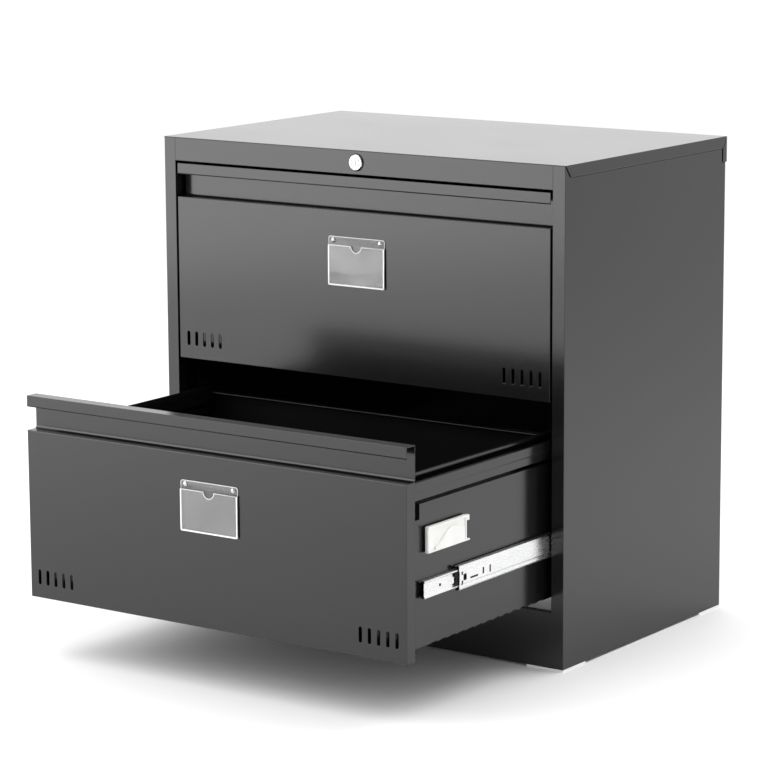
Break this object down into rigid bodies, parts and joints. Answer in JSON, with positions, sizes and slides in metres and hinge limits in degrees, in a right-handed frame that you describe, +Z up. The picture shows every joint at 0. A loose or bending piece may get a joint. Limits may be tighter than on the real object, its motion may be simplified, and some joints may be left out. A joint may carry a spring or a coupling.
{
  "type": "filing cabinet",
  "caption": "Lateral filing cabinet in dark sheet steel, with stacked full-width drawers on ball-bearing slides, clear label holders, a cam lock and flat foot pads.",
  "frame": {"origin": "on the floor, under the middle of the whole object as stored, the drawn-out lower drawer included", "axes": "+Z up, fronts facing -Y, +X to the right of someone facing the fronts; the lower drawer is stored drawn out and the upper drawer shut"},
  "size_m": [0.71, 0.803, 0.72],
  "materials": {
    "painted_steel": "satin charcoal powder coat",
    "zinc_steel": "bright zinc plate",
    "chrome": "polished",
    "white_plastic": "smooth off-white moulding",
    "black_plastic": "smooth black moulding",
    "clear_plastic": "clear, glossy"
  },
  "bodies": {
    "cabinet": {"top_panel": "painted_steel", "header_rail": "painted_steel", "side_panel_left": "painted_steel", "side_panel_right": "painted_steel", "back_panel": "painted_steel", "plinth": "painted_steel", "base_rail": "painted_steel", "post_front_left": "painted_steel", "post_front_right": "painted_steel", "post_rear_left": "painted_steel", "post_rear_right": "painted_steel", "foot_front_left": "white_plastic", "foot_front_right": "white_plastic", "foot_rear_left": "white_plastic", "foot_rear_right": "white_plastic", "upper_slide_outer_left": "zinc_steel", "upper_slide_outer_right": "zinc_steel", "lower_slide_outer_left": "zinc_steel", "lower_slide_outer_right": "zinc_steel", "lock_housing": "chrome", "lock_nut": "zinc_steel"},
    "lock_barrel": {"lock_plug": "chrome", "lock_cam": "zinc_steel", "lock_cam_screw": "zinc_steel"},
    "upper_drawer": {"upper_front": "painted_steel", "upper_liner": "painted_steel", "upper_side_left": "painted_steel", "upper_side_right": "painted_steel", "upper_floor": "painted_steel", "upper_back": "painted_steel", "upper_label_holder": "clear_plastic", "upper_label_rivets": "chrome", "upper_interlock_cam": "white_plastic", "upper_slide_inner_left": "zinc_steel", "upper_slide_inner_right": "zinc_steel", "upper_slide_screws": "zinc_steel", "upper_lock_strike": "zinc_steel"},
    "upper_slide_mids": {"upper_slide_mid_left": "zinc_steel", "upper_slide_mid_right": "zinc_steel"},
    "upper_outer_balls": {"upper_outer_cages": "zinc_steel"},
    "upper_inner_balls": {"upper_inner_cages": "black_plastic"},
    "lower_drawer": {"lower_front": "painted_steel", "lower_liner": "painted_steel", "lower_side_left": "painted_steel", "lower_side_right": "painted_steel", "lower_floor": "painted_steel", "lower_back": "painted_steel", "lower_label_holder": "clear_plastic", "lower_label_rivets": "chrome", "lower_interlock_cam": "white_plastic", "lower_slide_inner_left": "zinc_steel", "lower_slide_inner_right": "zinc_steel", "lower_slide_screws": "zinc_steel"},
    "lower_slide_mids": {"lower_slide_mid_left": "zinc_steel", "lower_slide_mid_right": "zinc_steel"},
    "lower_outer_balls": {"lower_outer_cages": "zinc_steel"},
    "lower_inner_balls": {"lower_inner_cages": "black_plastic"}
  },
  "joints": [
    {"name": "upper_drawer_slide", "type": "slide", "parent": "cabinet", "child": "upper_drawer", "axis": [0, -1, 0], "range_m": [0, 0.35]},
    {"name": "upper_mid_slide", "type": "slide", "parent": "cabinet", "child": "upper_slide_mids", "axis": [0, -1, 0], "range_m": [0, 0.2701]},
    {"name": "upper_outer_ball_slide", "type": "slide", "parent": "cabinet", "child": "upper_outer_balls", "axis": [0, -1, 0], "range_m": [0, 0.1351]},
    {"name": "upper_inner_ball_slide", "type": "slide", "parent": "cabinet", "child": "upper_inner_balls", "axis": [0, -1, 0], "range_m": [0, 0.3101]},
    {"name": "lower_drawer_slide", "type": "slide", "parent": "cabinet", "child": "lower_drawer", "axis": [0, -1, 0], "range_m": [-0.35, 0]},
    {"name": "lower_mid_slide", "type": "slide", "parent": "cabinet", "child": "lower_slide_mids", "axis": [0, -1, 0], "range_m": [-0.2701, 0]},
    {"name": "lower_outer_ball_slide", "type": "slide", "parent": "cabinet", "child": "lower_outer_balls", "axis": [0, -1, 0], "range_m": [-0.1351, 0]},
    {"name": "lower_inner_ball_slide", "type": "slide", "parent": "cabinet", "child": "lower_inner_balls", "axis": [0, -1, 0], "range_m": [-0.3101, 0]},
    {"name": "lock_turn", "type": "hinge", "parent": "cabinet", "child": "lock_barrel", "pos_m": [0, -0.0485, 0.7025], "axis": [0, 1, 0], "range_deg": [0, 90]}
  ],
  "couplings": [
    {"joint": "upper_mid_slide", "follows": "upper_drawer_slide", "ratio": 0.77143},
    {"joint": "upper_outer_ball_slide", "follows": "upper_drawer_slide", "ratio": 0.38571},
    {"joint": "upper_inner_ball_slide", "follows": "upper_drawer_slide", "ratio": 0.88571},
    {"joint": "lower_mid_slide", "follows": "lower_drawer_slide", "ratio": 0.77143},
    {"joint": "lower_outer_ball_slide", "follows": "lower_drawer_slide", "ratio": 0.38571},
    {"joint": "lower_inner_ball_slide", "follows": "lower_drawer_slide", "ratio": 0.88571}
  ]
}
